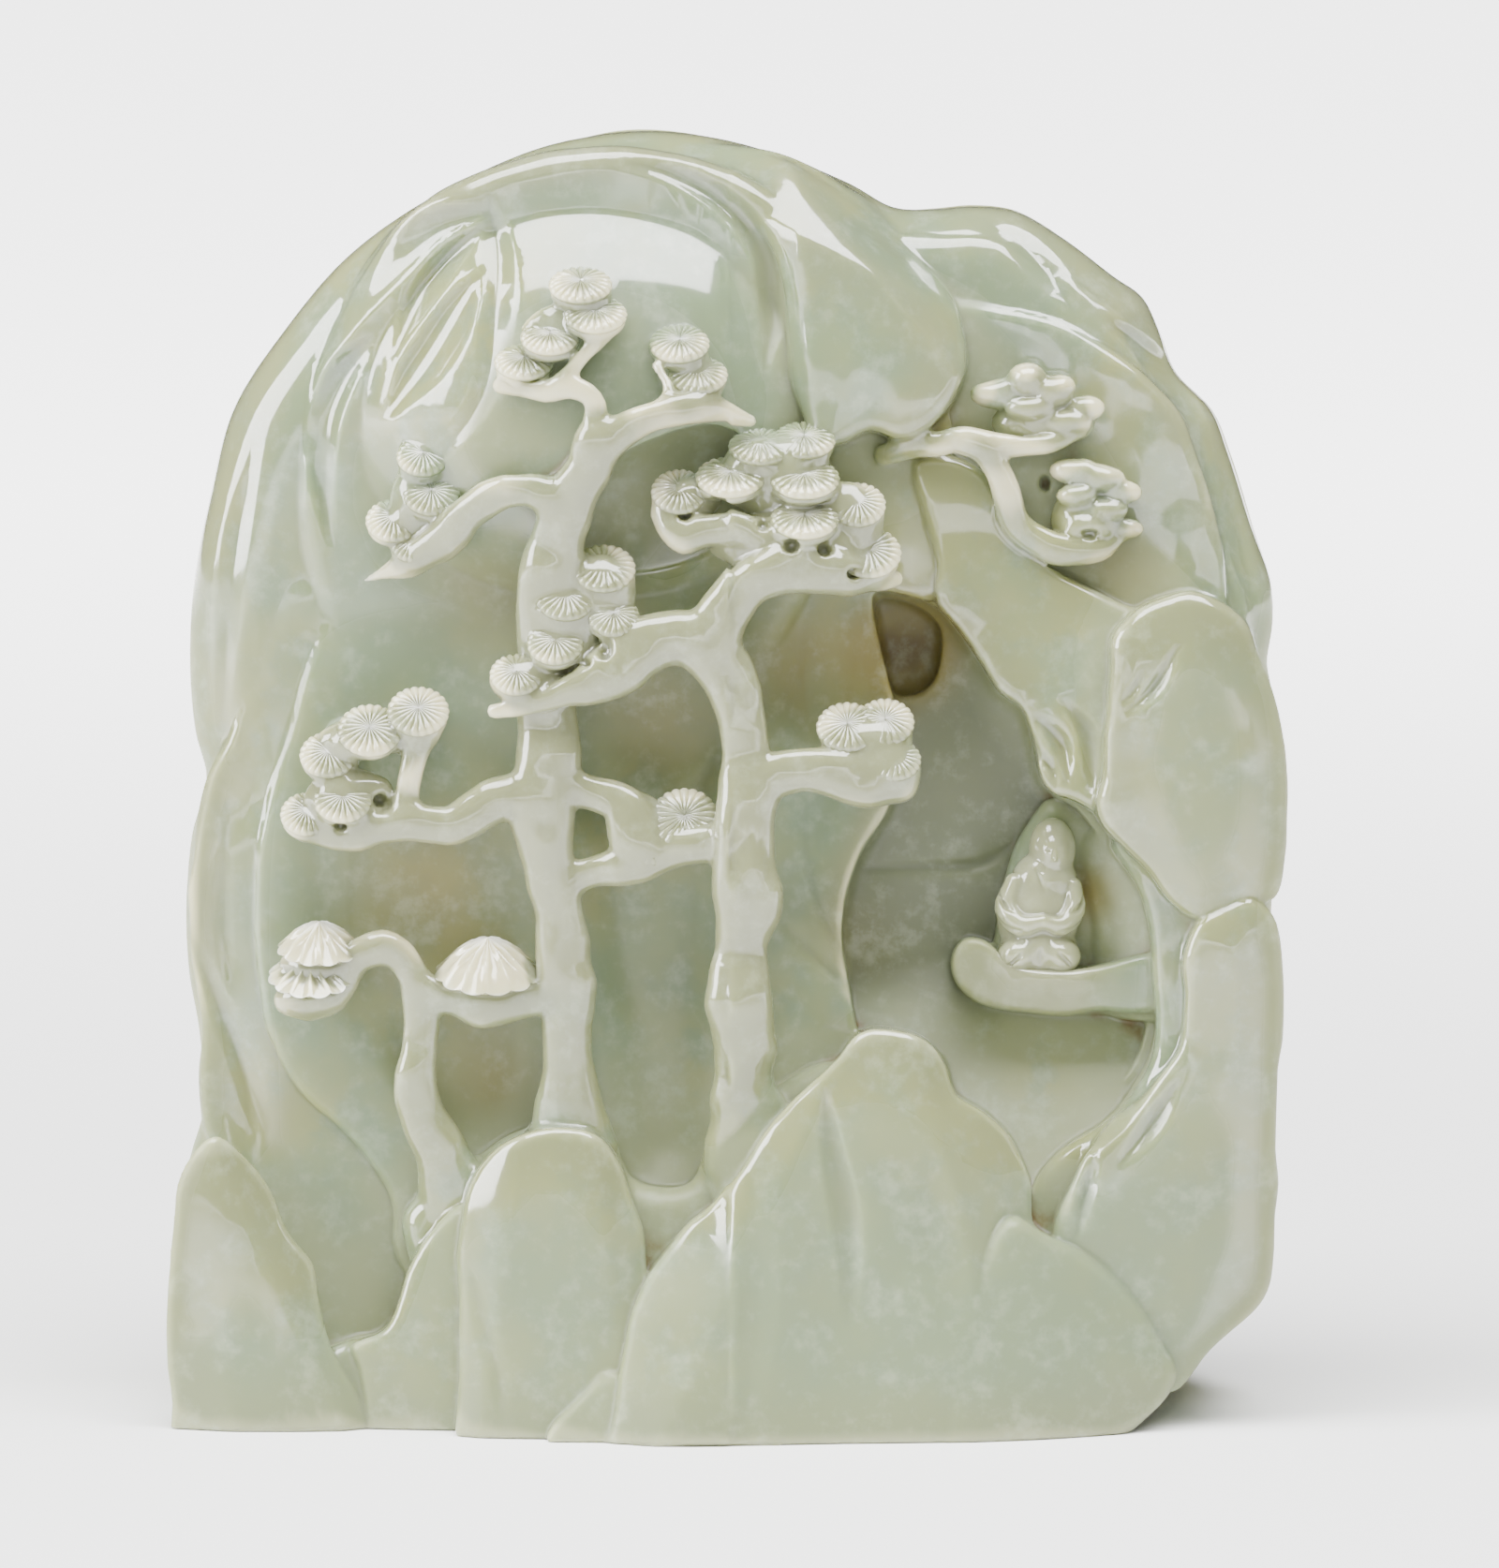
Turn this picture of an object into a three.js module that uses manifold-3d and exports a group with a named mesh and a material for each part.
// A jade mountain carving: one pale green boulder, flat underneath, with pines and a seated
// monk in a grotto cut into its front.
// Everything is drawn in millimetres on a front elevation: right, up, and out towards the viewer.
// The elevation is the one seen from a little above, so what stands further out is also drawn
// lower. The finished drawing is sheared back upright and cut flat along the base.
import * as THREE from "three";
import { mergeVertices } from "three/addons/utils/BufferGeometryUtils.js";
import Module from "manifold-3d";

const wasm = await Module();
wasm.setup();

// Driving dimensions
const VIEW_TILT = THREE.MathUtils.degToRad(7);
const BASE_DROP = 3.2; // the base lies this far above the drawing's origin once upright
const BOULDER_BACK = -30;
const BOULDER_FRONT = 2;
const BOULDER_ROUND = 15;
const BURIED = -12; // how deep every rock runs back into the boulder
const CUT_OPEN = 60; // cuts run out past the front to here

// Mesh fineness
const OUTLINE_STEPS = 2; // samples for each outline point
const LIMB_SIDES = 6;
const LIMB_STEPS = 1; // rings for each limb point
const PAD_SIDES = 8;
const DOME_SIDES = [20, 13];
const MONK_SIDES = [7, 6];
const WORN_STEPS = 2; // facets across a worn edge
const FINE_EDGE = 3; // an edge worn no deeper than this is one facet
const ROOM_SHARE = 0.6; // share of the free room that a worn edge may take up
const WELD = 1e-4;

// The dome of the mountain, an ellipsoid
const DOME = { centre: [-18, 128, -12], reach: [31, 32, 30] };

const BOULDER_OUTLINE = [
  [0, -75], [-45, -68], [-62, -45], [-67.5, 0], [-68.3, 20], [-66, 44], [-66, 76], [-65.8, 104],
  [-59, 129], [-48, 143.5], [-30, 155.6], [-8, 160.2], [10, 156.6], [24, 151.8], [36, 149.4],
  [48, 141], [56.4, 129], [63.4, 114], [66.8, 100], [68, 80], [67.2, 50], [66.4, 24], [57, 8],
  [43, -8], [35, -32], [24, -60],
];

// Rocks laid over the boulder's front. front is how far the middle of the face stands out,
// round is the [inset, depth] of the worn edge, lean is the rise of the face to the right and up.
const WALL_ROCKS = [
  {
    name: "left cliff", front: 3.6, round: [3, 3], lean: [0.12, 0],
    outline: [
      [-61, 87], [-52, 108], [-46, 100], [-50, 48], [-54, 42], [-60, 32], [-64.5, 38], [-65, 52],
      [-65.6, 75],
    ],
  },
  {
    name: "tree wall", front: 4.6, round: [1.4, 1.4], lean: [0.02, -0.02],
    outline: [
      [-53.5, 88], [-57, 78], [-56.6, 49.5], [-42, 29.5], [-41, 23], [-36, 16], [-10, 18],
      [10, 32], [16.5, 50], [13.5, 63], [20.8, 84], [18, 98], [18, 106], [8, 112], [-20, 112],
      [-44, 108],
    ],
  },
  {
    name: "dome foot", front: 6.8, round: [3, 2.6], lean: [0.05, 0.03],
    outline: [
      [-53, 117], [-47.5, 93], [-34, 96], [8, 106], [13, 122], [10, 148], [-8, 157.4],
      [-28, 155.6], [-42, 147],
    ],
  },
  {
    name: "lobe rim", front: 11, round: [3.5, 4], lean: [-0.1, -0.22],
    outline: [
      [-10, 157.4], [3.5, 148], [9, 128], [14, 124], [24, 126], [27.8, 137], [20.5, 148.8],
      [4, 157.8],
    ],
  },
  {
    name: "lobe", front: 17.5, round: [5.5, 6], lean: [-0.06, -0.08],
    outline: [[6.6, 140.5], [8.2, 145.4], [18, 142], [28, 128.4], [23, 123.6], [11, 124.6]],
  },
  {
    name: "upper right slope", front: 3.8, round: [3, 3], lean: [0.02, -0.03],
    outline: [
      [26, 139], [41, 136.3], [55.5, 124.5], [60, 92], [48, 88], [34, 96], [22, 106], [19, 130],
    ],
  },
  {
    name: "ridge end", front: 6.4, round: [2, 2], lean: [0, 0],
    outline: [[17, 121], [23.4, 120.6], [25.4, 113], [26.6, 104], [17.6, 104.2], [13, 112]],
  },
  {
    name: "cliff face", front: 8.6, round: [1.8, 1.8], lean: [-0.06, -0.09],
    outline: [
      [22.6, 119.6], [28, 119.9], [31.8, 117.5], [38.5, 107], [54, 98], [56, 80], [52, 68],
      [44.6, 76], [39, 79], [35, 90], [32.5, 91.8], [28, 99.3], [25.6, 102.2], [25, 107],
    ],
  },
];

// Rocks that stand in front of the grotto and the trees, laid on once the grotto is cut.
const FRONT_ROCKS = [
  {
    name: "grotto rim", front: 10.5, round: [2.6, 3], lean: [0.12, -0.05],
    outline: [
      [47.6, 72], [53, 72.4], [58, 66], [60, 50], [56, 34], [46, 20], [37.5, 23], [38.5, 33.5],
      [45.4, 38.8], [51, 46], [50, 67],
    ],
  },
  {
    name: "right upper rock", front: 16.5, round: [6.5, 9], lean: [-0.12, 0],
    outline: [
      [46.8, 98.4], [56, 104], [60.6, 102], [67.9, 83], [64, 65], [57, 64], [44.7, 78], [45.3, 84],
    ],
  },
  {
    name: "right lower rock", front: 17, round: [6.5, 9], lean: [-0.14, 0],
    outline: [
      [63.6, 66.3], [56, 62], [54.6, 48], [45.6, 38.4], [41.6, 32], [40, 22], [50, -6], [56, 8.4],
      [65.4, 18], [66.6, 26], [66, 64],
    ],
  },
  {
    name: "left rock", front: 17, round: [6, 6], lean: [0, -0.03],
    outline: [
      [-68, -12], [-68.8, 6], [-67.8, 29.5], [-62.8, 37.4], [-51, 21.4], [-48.8, 11.4], [-43.4, 1],
      [-42, -12],
    ],
  },
  {
    name: "left mound", front: 15.5, round: [4, 4], lean: [0.06, -0.05],
    outline: [
      [-46, -12], [-44.6, 2], [-45.4, 9], [-46.4, 11.6], [-42.4, 13.6], [-39.4, 21.6],
      [-32.6, 29.2], [-26, 26], [-26, -12],
    ],
  },
  {
    name: "tree ground", front: 12.5, round: [2.5, 3], lean: [0.05, -0.1],
    outline: [
      [-40, 27], [-18, 38.6], [-10, 30.9], [-5, 31.6], [-3, 34.4], [7, 44.4], [13, 46], [20, 30],
      [4, 14], [-20, 10], [-36, 16],
    ],
  },
  {
    name: "middle rock", front: 22.5, round: [5.5, 6], lean: [0.06, -0.06],
    outline: [
      [-33.4, -12], [-33, 6], [-32, 30.4], [-28.6, 35.9], [-16.4, 37.5], [-10.8, 25.4], [-12, 4],
      [-12, -12],
    ],
  },
  {
    name: "right toe", front: 19, round: [5, 7], lean: [-0.42, -0.1],
    outline: [
      [34, 27.5], [38.2, 25.4], [48.4, 19], [52.4, 13], [55, 8.4], [47, -1], [40, -12], [26, -12],
    ],
  },
  {
    name: "great rock", front: 25, round: [6.5, 7], lean: [-0.1, -0.1],
    outline: [
      [-15.4, -12], [-14.4, 3], [-9.8, 21.2], [1.6, 33.4], [4.6, 38.2], [13.2, 46.6], [17.4, 50.6],
      [24.6, 48.2], [27.4, 42.2], [34.4, 36.8], [37, 27], [44, 4], [44, -12],
    ],
  },
];

// Plain rocks laid over the boulder's back, out to the depth given.
const BACK_ROUND = [8, 5];
const BACK_ROCKS = [
  { back: -33, outline: [[-57, -40], [-60, 20], [-48, 46], [-20, 38], [-2, 16], [4, -40]] },
  { back: -34, outline: [[10, -40], [6, 36], [14, 76], [36, 92], [54, 72], [55, 22], [30, -40]] },
  { back: -32.5, outline: [[-42, 70], [-50, 104], [-36, 136], [-8, 146], [14, 136], [12, 106], [-22, 66]] },
];

// Hollows cut back into the boulder; floor is the depth that each one reaches.
const PIT = {
  floor: -4, round: [3, 3],
  outline: [
    [-57, 46.4], [-52.4, 41], [-42.6, 30], [-42.4, 14.4], [-46, 12.4], [-49.4, 14], [-51.2, 22.4],
    [-56.6, 32],
  ],
};
const GROTTO = {
  floor: -7, round: [4, 4],
  outline: [
    [17.6, 103.6], [25, 102], [33, 91.3], [35.6, 89.4], [37.8, 81], [42, 77.6], [50.2, 67],
    [51.2, 52], [45.6, 40.8], [40, 35.8], [36, 30], [22, 32], [13.6, 63], [20.9, 84],
  ],
};
const DARK_HOLE = {
  floor: -16, round: [2, 2],
  outline: [[17.9, 102.6], [20.4, 103], [25.6, 99.6], [24.8, 92.8], [20.2, 91.4], [19, 95]],
};

const LEDGE = {
  front: 6.5, round: [1.6, 2], lean: [0.02, 0],
  outline: [
    [27.7, 56.4], [33, 52.9], [54, 53.4], [56, 60], [48, 58.6], [34, 58.6], [31.2, 61.2],
    [28.8, 61.4],
  ],
};

// The seated monk, drawn from the seat's middle. Ellipsoids are [middle, reach].
const MONK = {
  seat: [37.9, 57.4, 1],
  robe: [[0, -0.6], [5, 0], [5.3, 2.2], [4.7, 5.4], [4.3, 8.6], [3.6, 11.4], [2.2, 13.4], [0, 14]],
  robeDepth: 0.8,
  bumps: [
    [[0.9, 16.2, 0.8], [2.5, 3, 2.6]],
    [[-2.6, 1.9, 2.8], [3, 1.9, 2.4]],
    [[2.4, 1.7, 2.8], [3, 1.8, 2.4]],
    [[-0.2, 7, 3], [3.5, 2.1, 1.7]],
    [[0, 4, -3], [4, 5, 5]],
  ],
};

// Trunks and branches: points are [right, up, out, radius].
const LIMBS = [
  {
    name: "left trunk",
    points: [
      [-19.6, 34, 8, 5], [-19.8, 45, 10.5, 4.1], [-20.4, 56, 12, 3.5], [-21.2, 66, 12.5, 3.5],
      [-22.8, 75, 13, 3.6], [-22.4, 83, 13, 3.6], [-22, 92, 12.4, 3.3], [-22.2, 101, 12.8, 3],
      [-21.6, 109, 14.4, 2.8], [-20, 116, 16.8, 2.7], [-18.2, 122, 18.6, 2.4],
    ],
  },
  {
    name: "centre trunk and arch",
    points: [
      [5, 36, 10, 6.4], [2.4, 44, 13, 4.7], [0.8, 52, 15, 3.9], [1, 60, 15.5, 3.6],
      [1.9, 68, 16, 3.9], [1.8, 76, 16, 3.5], [2.5, 84, 16, 3.3], [1.2, 90.4, 16, 3.1],
      [-1.6, 95.6, 16, 3.2], [-5.6, 98.4, 16, 3.3], [-9.6, 97.9, 16, 3], [-13.6, 95.3, 16.5, 2.7],
      [-18, 92.6, 17.2, 2.2], [-23, 90.5, 17.4, 1.8], [-28, 89.2, 16.6, 1.2],
    ],
  },
  {
    name: "upper left branch",
    points: [
      [-20.4, 113.6, 16, 2.4], [-23.4, 116.5, 16.8, 2.1], [-26.6, 116.7, 16.4, 1.9],
      [-29.8, 114.6, 15, 1.9], [-33, 111.2, 12.8, 2], [-36.6, 108.6, 11, 1.9],
      [-40.6, 106.7, 9.4, 1.5], [-45, 104.9, 7.6, 0.8],
    ],
  },
  {
    name: "top branch",
    points: [
      [-18.4, 121, 18.2, 2.3], [-16.7, 125, 19.4, 1.9], [-16.7, 128.6, 19.9, 1.6],
      [-19.2, 130.4, 19.7, 1.5], [-23, 129.5, 18.8, 1.4], [-27.6, 128.5, 16.6, 1],
    ],
  },
  {
    name: "upper right branch",
    points: [
      [-18.4, 121, 18.2, 2.3], [-15, 123.6, 19.4, 2], [-11, 125.2, 19.8, 1.8],
      [-7, 126.3, 19.4, 1.6], [-3, 126.2, 17.6, 1.5], [1.6, 125, 14.6, 1.1],
    ],
  },
  {
    name: "crown branch",
    points: [
      [-2.4, 97, 16, 2.8], [-1.2, 101.5, 16.4, 2.3], [1, 104.8, 16.8, 2.4], [5, 106.8, 17, 2.7],
      [9.5, 107, 16.6, 2.6], [14, 105.8, 15.4, 2.2], [18.5, 105, 13.6, 1.6],
    ],
  },
  {
    name: "crown stem",
    points: [
      [7.4, 107.6, 16.6, 2.4], [6, 111.6, 16.6, 2.4], [1, 113.4, 16.4, 2], [-4, 112, 16, 2],
      [-7.8, 112.6, 15.4, 1.8],
    ],
  },
  { name: "crown twig", points: [[2, 112.6, 16, 2], [0.2, 116.4, 15.6, 1.8], [-0.8, 119, 15.2, 1.6]] },
  {
    name: "right branch",
    points: [
      [3, 78, 16, 2.8], [6, 82.7, 16.5, 2.4], [10, 84, 16.5, 2.4], [14.5, 82.6, 16, 2.6],
      [18.5, 80.3, 15.4, 2.7], [21.2, 82, 14.6, 2.3],
    ],
  },
  {
    name: "upper bridge",
    points: [[-21, 80.6, 13, 2], [-15.5, 79.8, 13.6, 1.8], [-12, 77.8, 14, 2], [-11.4, 71, 14, 2.4]],
  },
  {
    name: "lower bridge",
    points: [
      [-21, 68, 12.6, 2.4], [-15, 69.9, 13.6, 2], [-9.5, 71, 14.2, 2.3], [-4, 72.6, 15, 2.3],
      [1, 73, 15.6, 2.2],
    ],
  },
  {
    name: "lower left branch",
    points: [
      [-23.4, 80.6, 13, 2.3], [-28, 79.6, 13.5, 2], [-31.5, 77, 14, 2.1], [-35.5, 75.4, 14.5, 2.3],
      [-40, 75.2, 14.5, 2.5], [-45, 74.4, 13.8, 2.6], [-49.5, 74, 12.6, 2.3], [-52.6, 75.6, 11.4, 1.8],
    ],
  },
  {
    name: "lower left twig",
    points: [
      [-40, 75.6, 14.5, 2.1], [-39.6, 79.5, 14.6, 1.9], [-38.4, 83, 14.6, 1.8], [-36.8, 86.8, 14, 1.8],
    ],
  },
  {
    name: "small pine, left arm",
    points: [
      [-33.4, 29, 8.4, 4.6], [-36.6, 36, 10, 3.3], [-38.4, 42, 10.6, 2.7], [-38.2, 48, 11, 2.6],
      [-37.9, 54, 11, 2.7], [-39.8, 59.4, 11.4, 2], [-43, 60.9, 11.5, 1.6], [-46, 59.5, 11.4, 1.7],
      [-48.2, 56, 11, 2], [-51.6, 53.8, 10.2, 2.2],
    ],
  },
  {
    name: "small pine, right arm",
    points: [[-38, 52.4, 11, 2.7], [-33, 53.5, 11.5, 2.4], [-28.5, 53, 12, 2.5], [-23.4, 54.6, 12.4, 2.3]],
  },
  {
    name: "cliff pine",
    points: [
      [18.6, 120.4, 7.4, 1.2], [25.4, 122, 9.6, 1.5], [29.6, 121.8, 10.2, 1.8], [32.2, 119.2, 9.8, 1.8],
      [33.7, 115.6, 9, 1.7], [34.8, 112.2, 8, 1.7], [37.6, 109.8, 7.6, 1.9], [41.6, 108.7, 7.4, 1.9],
      [45.6, 109.2, 7, 1.6], [48.2, 111, 6, 1],
    ],
  },
  {
    name: "cliff pine, upper arm",
    points: [[29, 122, 10.2, 1.6], [34, 121.4, 9.4, 1.4], [38.2, 121.7, 8.6, 1.4], [42.8, 123.2, 7.4, 1]],
  },
  // Stubs left standing behind the open branches, which tie them to the wall
  { name: "arch stub", points: [[-24, 91.4, 3, 2.4], [-22.6, 91, 15.6, 1.7]] },
  { name: "lower left stub", points: [[-47.6, 80.6, 2, 2.6], [-47.6, 79, 14, 2.4]] },
  { name: "upper left stub", points: [[-47, 86, 3, 2.4], [-46.6, 85, 14, 2.2]] },
  { name: "twig stub", points: [[-38.4, 87.6, 3, 2.4], [-38.4, 87.4, 13, 2]] },
  { name: "crown stub", points: [[8.4, 113, 3, 3], [8.2, 112.4, 15, 2.6]] },
  { name: "right branch stub", points: [[16.6, 84.6, 2, 2.8], [17.4, 84.4, 15, 2.4]] },
  { name: "fan stub", points: [[-51, 57, 2, 2.6], [-51, 57, 10, 2.2]] },
];

// Needle pads, seen as ellipses because they face up as well as out: [right, up, out, radius].
const PAD_FACING = THREE.MathUtils.degToRad(40);
const PAD_PROFILE = [[0, -0.62], [0.8, -0.42], [1, 0.05], [0, 0.44]];
const PADS = [
  [-18.2, 141.2, 17.2, 3.7], [-16.3, 137.4, 18.4, 3.7], [-22, 135.4, 18.2, 3.8],
  [-26, 132.4, 17.4, 3.6], [-6.5, 134, 17.2, 3.6], [-3.4, 130.4, 17, 3.3],
  [-37.6, 120.6, 10.8, 3.3], [-36.6, 116, 11.6, 3.5], [-41.4, 112.8, 9.6, 3.5],
  [-39, 109.8, 10.4, 2.8], [-7.2, 116.8, 16.6, 3.8], [-0.8, 119.2, 16.4, 3.9],
  [8, 122.2, 14.6, 4.8], [8.6, 117.8, 16.4, 4.4], [8, 113.6, 17.6, 4.2], [14.8, 114.8, 15.8, 4.2],
  [16.6, 109.6, 15.4, 4], [-15.8, 106.4, 16.4, 3.9], [-19.8, 102.8, 17, 3.8],
  [-14.2, 101.2, 17.6, 3.5], [-20.7, 98, 17.8, 3.6], [-25.8, 94, 17.4, 3.5],
  [-38.5, 89.2, 15.4, 4.2], [-44, 87, 15.2, 3.9], [-49, 84.4, 14.2, 3.7], [-47.6, 79.8, 15.4, 3.9],
  [-52.2, 77, 13, 3.4], [-6.3, 76, 16, 4.7], [-10, 74, 15.6, 3.4], [13.8, 87.4, 16.8, 4],
  [18.8, 88.2, 16.2, 3.6], [20, 84, 16.8, 3.5],
];

// Fluted needle fans, seen from the side: [right, up, out, radius, height].
const FAN_SIDES = 8;
const FAN_FACING = THREE.MathUtils.degToRad(72);
const FAN_FLUTE = 0.14;
const FAN_PROFILE = [[0, -0.6], [1, -0.2], [0.76, 0.66], [0, 1]];
const FANS = [
  [-50.4, 60.6, 11, 5.2, 3.6], [-51.4, 57, 11.4, 5.2, 3], [-51.4, 53.6, 10.8, 4.4, 2.4],
  [-30, 57.6, 12, 6.2, 5], [-29.6, 53.6, 12, 5.6, 2.4], [35.6, 127, 7.4, 5, 4], [40.8, 125, 7.4, 4.4, 2.6],
  [42.4, 116.6, 7, 4.6, 3.4], [46, 114.6, 6.4, 3.6, 2.4], [46.4, 111.4, 6.4, 3.6, 1.8],
];

// Grooves worn into the dome and the great rock: points are [right, up, radius].
const GROOVE_BITE = 0.45; // share of a groove's radius that is cut below the face
const DOME_GROOVES = [
  [[-31, 149.4, 0.8], [-40, 146.2, 2], [-46.6, 139.4, 1.6], [-56, 126, 0.7]],
  [[-45, 133, 0.8], [-48.8, 125, 2], [-48.6, 112, 0.8]],
  [[-31, 146.4, 0.7], [-37, 142, 1.8], [-41.6, 133, 2], [-42.6, 126, 0.7]],
  [[-31, 142, 0.7], [-36, 138.6, 1.5], [-38.6, 128.4, 0.7]],
  [[-12, 155.6, 0.7], [-2, 151.6, 1.7], [4.6, 144, 2], [4.2, 131.6, 0.7]],
];
const ROCK_GROOVES = [
  [[12, 41, 0.8], [12.6, 33, 2.2], [13.4, 16, 1]],
  [[3, 33, 0.8], [3.4, 22, 2.4], [2, 3, 1]],
  [[8, 37, 0.7], [8.8, 26, 1.8], [9.2, 12, 0.7]],
];

// A closed outline drawn smoothly through its points, anticlockwise.
function smoothOutline(points) {
  const corners = points.map(([right, up]) => new THREE.Vector3(right, up, 0));
  const curve = new THREE.CatmullRomCurve3(corners, true, "centripetal");
  const samples = curve.getPoints(points.length * OUTLINE_STEPS).slice(0, -1);
  const ring = samples.map((p) => new THREE.Vector2(p.x, p.y));
  return THREE.ShapeUtils.isClockWise(ring) ? ring.reverse() : ring;
}

// Where each outline point goes when the outline shrinks. A point stops short of the place
// where it would meet another part of the outline.
function inwardMoves(ring, inset) {
  return ring.map((here, i) => {
    const before = ring[(i + ring.length - 1) % ring.length];
    const after = ring[(i + 1) % ring.length];
    const inward = new THREE.Vector2(before.y - after.y, after.x - before.x).normalize();
    let room = inset;
    for (const other of ring) {
      const gap = other.clone().sub(here);
      const ahead = gap.dot(inward);
      if (ahead > WELD) room = Math.min(room, (ROOM_SHARE * gap.lengthSq()) / (2 * ahead));
    }
    return inward.multiplyScalar(room);
  });
}

// The middle of an outline's box.
function middleOf(points) {
  const box = new THREE.Box2().setFromPoints(points.map((p) => new THREE.Vector2(...p)));
  return box.getCenter(new THREE.Vector2());
}

// How far out a rock's face stands at a place on the elevation.
function faceHeight({ outline, front, lean }, right, up) {
  const middle = middleOf(outline);
  return front + lean[0] * (right - middle.x) + lean[1] * (up - middle.y);
}

// How far out the dome stands.
function domeHeight(right, up) {
  const [centre, reach] = [DOME.centre, DOME.reach];
  const rise = 1 - ((right - centre[0]) / reach[0]) ** 2 - ((up - centre[1]) / reach[1]) ** 2;
  return centre[2] + reach[2] * Math.sqrt(Math.max(rise, 0));
}

// A manifold-3d solid of a closed three.js geometry.
function solidOf(geometry) {
  const bare = geometry.index ? geometry.toNonIndexed() : geometry.clone();
  bare.deleteAttribute("normal");
  bare.deleteAttribute("uv");
  const merged = mergeVertices(bare, WELD);
  const corners = merged.index.array;
  const faces = [];
  for (let i = 0; i < corners.length; i += 3) {
    const face = corners.slice(i, i + 3);
    if (new Set(face).size === 3) faces.push(...face);
  }
  return new wasm.Manifold(
    new wasm.Mesh({
      numProp: 3,
      vertProperties: new Float32Array(merged.attributes.position.array),
      triVerts: new Uint32Array(faces),
    }),
  );
}

// A slab from one depth out to another, its edges worn round at the back, the front or both.
function slab(outline, back, front, [inset, depth], { wornBack = false, wornFront = true } = {}) {
  const ring = smoothOutline(outline);
  const moves = inwardMoves(ring, inset);
  const steps = depth > FINE_EDGE ? WORN_STEPS : 1;
  const bends = Array.from({ length: steps + 1 }, (_, i) => ((i / steps) * Math.PI) / 2);
  const backLevels = bends.map((bend) => [back + depth * (1 - Math.cos(bend)), 1 - Math.sin(bend)]);
  const frontLevels = bends.map((bend) => [front - depth * (1 - Math.sin(bend)), 1 - Math.cos(bend)]);
  const levels = [
    ...(wornBack ? backLevels : [[back, 0]]),
    ...(wornFront ? frontLevels : [[front, 0]]),
  ];
  const shrunk = (share) => ring.map((p, i) => p.clone().addScaledVector(moves[i], share));
  const vertices = [];
  for (const [out, share] of levels) {
    for (const p of shrunk(share)) vertices.push(new THREE.Vector3(p.x, p.y, out));
  }
  const count = ring.length;
  const faces = [];
  for (let level = 0; level < levels.length - 1; level++) {
    for (let i = 0; i < count; i++) {
      const [a, b] = [level * count + i, level * count + ((i + 1) % count)];
      faces.push(a, b, b + count, a, b + count, a + count);
    }
  }
  const top = (levels.length - 1) * count;
  const cap = (level) => THREE.ShapeUtils.triangulateShape(shrunk(levels[level][1]), []);
  for (const [a, b, c] of cap(0)) faces.push(a, c, b);
  for (const [a, b, c] of cap(levels.length - 1)) faces.push(top + a, top + b, top + c);
  return new THREE.BufferGeometry().setFromPoints(vertices).setIndex(faces);
}

// A rock laid on the boulder, with its face leaning.
function rock(spec) {
  const geometry = slab(spec.outline, BURIED, spec.front, spec.round);
  const place = geometry.attributes.position;
  for (let i = 0; i < place.count; i++) {
    const rise = faceHeight(spec, place.getX(i), place.getY(i)) - spec.front;
    const share = (place.getZ(i) - BURIED) / (spec.front - BURIED);
    place.setZ(i, place.getZ(i) + rise * share);
  }
  return solidOf(geometry);
}

// A hollow, open to the front.
function hollow({ outline, floor, round }) {
  return solidOf(slab(outline, floor, CUT_OPEN, round, { wornBack: true, wornFront: false }));
}

// A round limb that swells and tapers along a curve through its points.
function limb(points) {
  const axis = new THREE.CatmullRomCurve3(points.map((p) => new THREE.Vector3(p[0], p[1], p[2])));
  const rings = (points.length - 1) * LIMB_STEPS;
  const frames = axis.computeFrenetFrames(rings, false);
  const vertices = [];
  for (let i = 0; i <= rings; i++) {
    const along = i / LIMB_STEPS;
    const before = Math.min(Math.floor(along), points.length - 2);
    const radius = THREE.MathUtils.lerp(points[before][3], points[before + 1][3], along - before);
    const centre = axis.getPoint(i / rings);
    for (let side = 0; side < LIMB_SIDES; side++) {
      const turn = (2 * Math.PI * side) / LIMB_SIDES;
      const spoke = frames.normals[i].clone().multiplyScalar(Math.cos(turn));
      spoke.addScaledVector(frames.binormals[i], Math.sin(turn));
      vertices.push(centre.clone().addScaledVector(spoke, radius));
    }
  }
  const faces = [];
  const corner = (ring, side) => ring * LIMB_SIDES + (side % LIMB_SIDES);
  for (let ring = 0; ring < rings; ring++) {
    for (let side = 0; side < LIMB_SIDES; side++) {
      const [a, b] = [corner(ring, side), corner(ring, side + 1)];
      const [c, d] = [corner(ring + 1, side), corner(ring + 1, side + 1)];
      faces.push(a, b, d, a, d, c);
    }
  }
  for (let side = 1; side < LIMB_SIDES - 1; side++) {
    faces.push(corner(0, 0), corner(0, side + 1), corner(0, side));
    faces.push(corner(rings, 0), corner(rings, side), corner(rings, side + 1));
  }
  return solidOf(new THREE.BufferGeometry().setFromPoints(vertices).setIndex(faces));
}

// An ellipsoid of few faces.
function ellipsoid(centre, reach, [sides, rows]) {
  const geometry = new THREE.SphereGeometry(1, sides, rows);
  return solidOf(geometry.scale(...reach).translate(...centre));
}

// One needle pad, a shallow round boss.
function pad([right, up, out, radius]) {
  const profile = PAD_PROFILE.map(([r, y]) => new THREE.Vector2(r * radius, y * radius));
  const geometry = new THREE.LatheGeometry(profile, PAD_SIDES);
  return solidOf(geometry.rotateX(Math.PI / 2 - PAD_FACING).translate(right, up, out));
}

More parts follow.
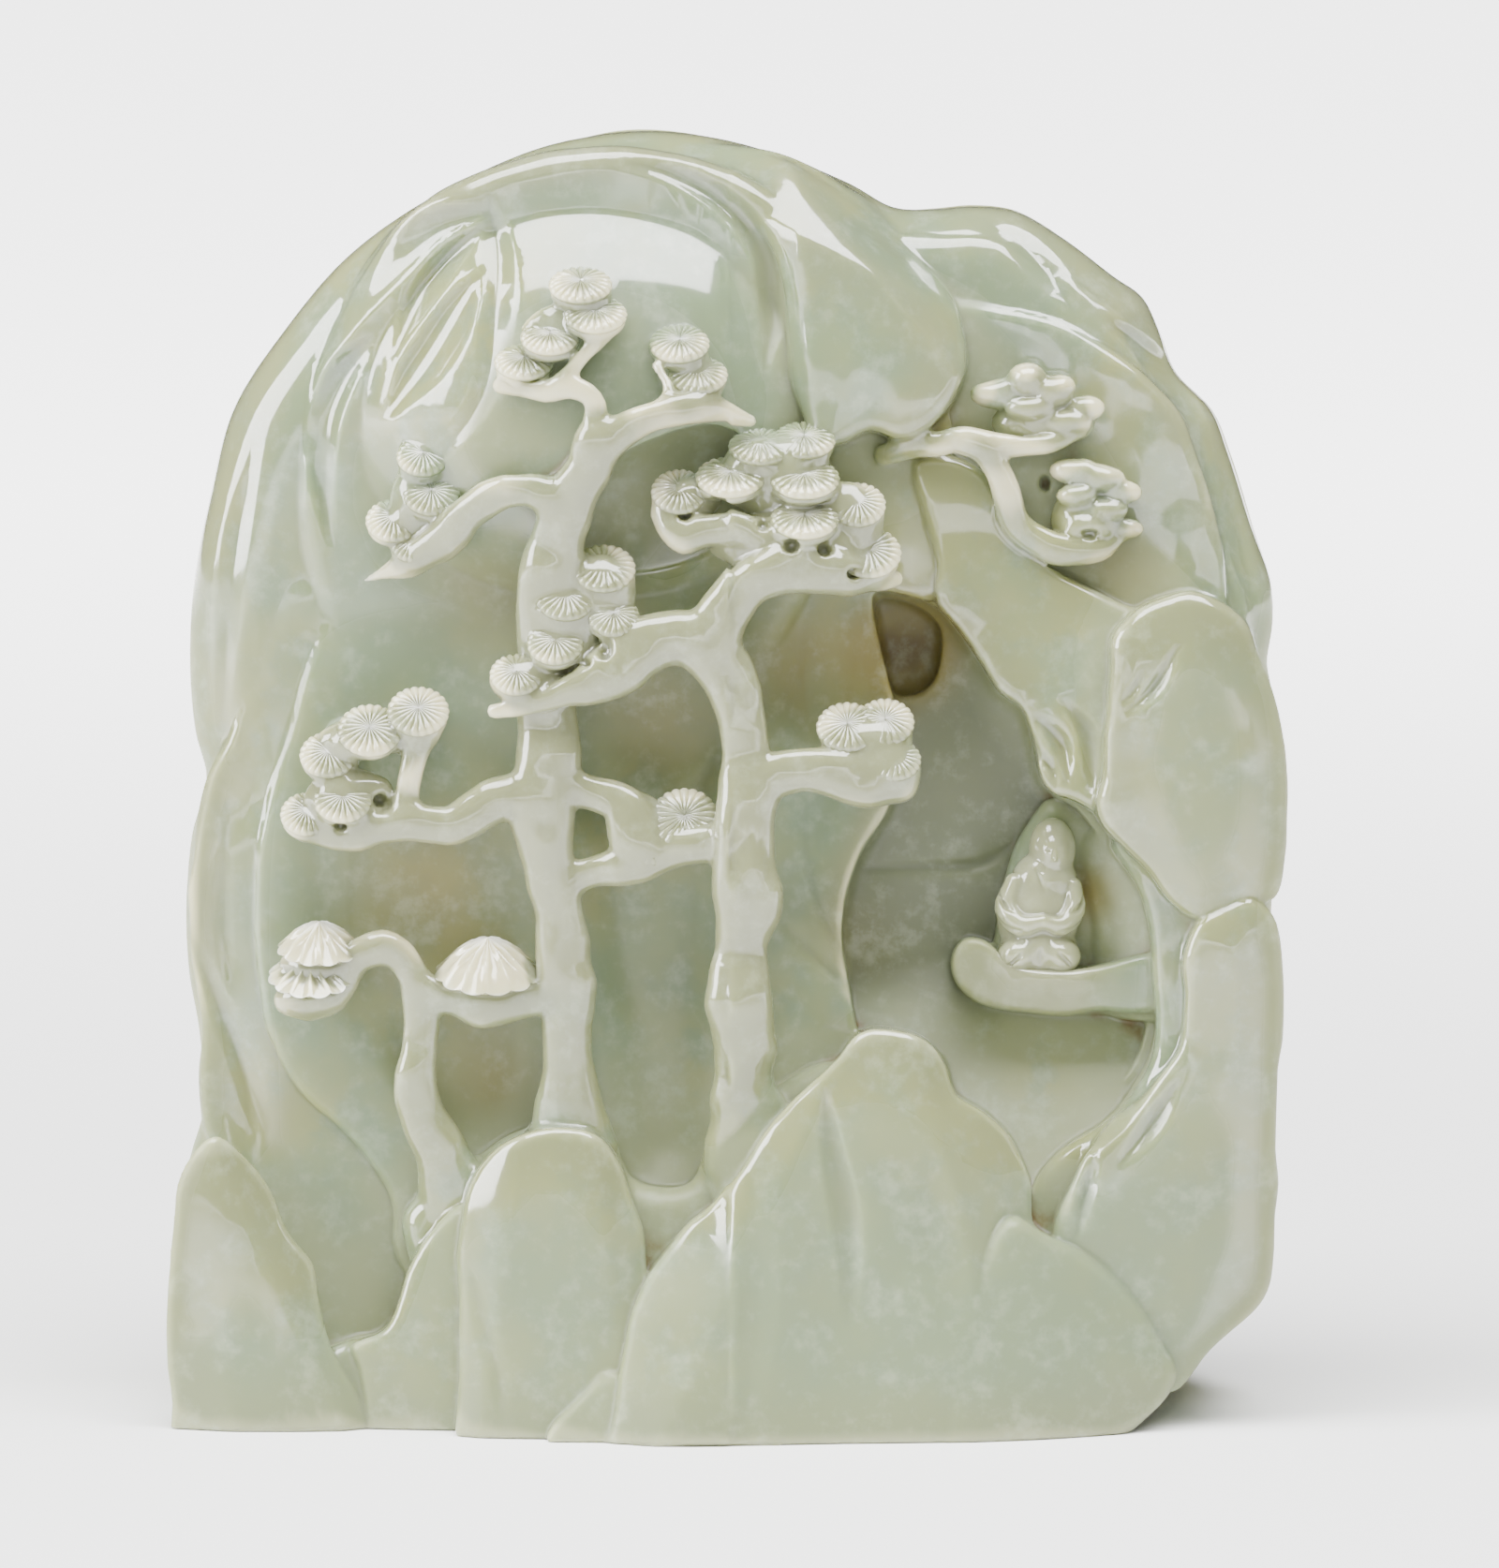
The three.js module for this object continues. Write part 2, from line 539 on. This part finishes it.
// One fluted fan of needles, a scalloped cap.
function fan([right, up, out, radius, height]) {
  const points = FAN_PROFILE.map(([r, y]) => new THREE.Vector2(r * radius, y * height));
  const geometry = new THREE.LatheGeometry(points, FAN_SIDES);
  const place = geometry.attributes.position;
  for (let i = 0; i < place.count; i++) {
    const side = Math.round((Math.atan2(place.getX(i), place.getZ(i)) / (2 * Math.PI)) * FAN_SIDES);
    const share = 1 - (side % 2 === 0 ? 0 : FAN_FLUTE);
    place.setX(i, place.getX(i) * share);
    place.setZ(i, place.getZ(i) * share);
  }
  return solidOf(geometry.rotateX(Math.PI / 2 - FAN_FACING).translate(right, up, out));
}

// The monk on the seat of the ledge.
function monk() {
  const { seat, robe, robeDepth, bumps } = MONK;
  const profile = robe.map(([r, y]) => new THREE.Vector2(r, y));
  const body = new THREE.LatheGeometry(profile, MONK_SIDES[0]).scale(1, 1, robeDepth).translate(...seat);
  let figure = solidOf(body);
  for (const [centre, reach] of bumps) {
    const place = centre.map((value, axis) => value + seat[axis]);
    figure = figure.add(ellipsoid(place, reach, MONK_SIDES));
  }
  return figure;
}

// Grooves that follow a face.
function groove(points, height) {
  return limb(points.map(([right, up, r]) => [right, up, height(right, up) + r * (1 - GROOVE_BITE), r]));
}

function carve() {
  const worn = [BOULDER_ROUND, BOULDER_ROUND];
  const boulder = slab(BOULDER_OUTLINE, BOULDER_BACK, BOULDER_FRONT, worn, { wornBack: true });
  let stone = solidOf(boulder);
  stone = stone.subtract(hollow(PIT));
  const within = solidOf(slab(BOULDER_OUTLINE, BURIED, CUT_OPEN, [0, 0], { wornFront: false }));
  stone = stone.add(ellipsoid(DOME.centre, DOME.reach, DOME_SIDES).intersect(within));
  for (const spec of WALL_ROCKS) stone = stone.add(rock(spec));
  stone = stone.subtract(hollow(GROTTO)).subtract(hollow(DARK_HOLE));
  for (const spec of FRONT_ROCKS) stone = stone.add(rock(spec));
  for (const { back, outline } of BACK_ROCKS) {
    const plain = slab(outline, back, BURIED, BACK_ROUND, { wornBack: true, wornFront: false });
    stone = stone.add(solidOf(plain));
  }
  const foot = WALL_ROCKS.find((spec) => spec.name === "dome foot");
  const domeFace = (right, up) => Math.max(domeHeight(right, up), faceHeight(foot, right, up));
  for (const points of DOME_GROOVES) stone = stone.subtract(groove(points, domeFace));
  const great = FRONT_ROCKS.find((spec) => spec.name === "great rock");
  const greatFace = (right, up) => faceHeight(great, right, up);
  for (const points of ROCK_GROOVES) stone = stone.subtract(groove(points, greatFace));
  stone = stone.add(rock(LEDGE)).add(monk());
  for (const { points } of LIMBS) stone = stone.add(limb(points));
  for (const spec of PADS) stone = stone.add(pad(spec));
  for (const spec of FANS) stone = stone.add(fan(spec));
  return stone;
}

// The drawing sheared upright, with the underside cut flat at height zero.
function standUp(stone) {
  const [rise, stretch] = [Math.tan(VIEW_TILT), 1 / Math.cos(VIEW_TILT)];
  const shear = new THREE.Matrix4().set(
    1, 0, 0, 0,
    0, 0, -1, 0,
    0, stretch, rise, -BASE_DROP,
    0, 0, 0, 1,
  );
  const upright = stone.transform(shear.elements);
  const ground = new THREE.BoxGeometry(400, 400, 200).translate(0, 0, -100);
  return upright.subtract(solidOf(ground));
}

// The finished solid as a geometry, with the origin under the middle of its box.
function geometryOf(stone) {
  const { vertProperties, triVerts } = stone.getMesh();
  const geometry = new THREE.BufferGeometry();
  geometry.setAttribute("position", new THREE.BufferAttribute(vertProperties, 3));
  geometry.setIndex(new THREE.BufferAttribute(triVerts, 1));
  geometry.computeBoundingBox();
  const middle = geometry.boundingBox.getCenter(new THREE.Vector3());
  geometry.translate(-middle.x, -middle.y, 0);
  geometry.computeVertexNormals();
  return geometry;
}

const jade = new THREE.MeshStandardMaterial({ color: 0xbcc2ab, roughness: 0.2, metalness: 0 });
const carving = new THREE.Mesh(geometryOf(standUp(carve())), jade);
carving.name = "jade_mountain";

const group = new THREE.Group();
group.add(carving);
export default group;
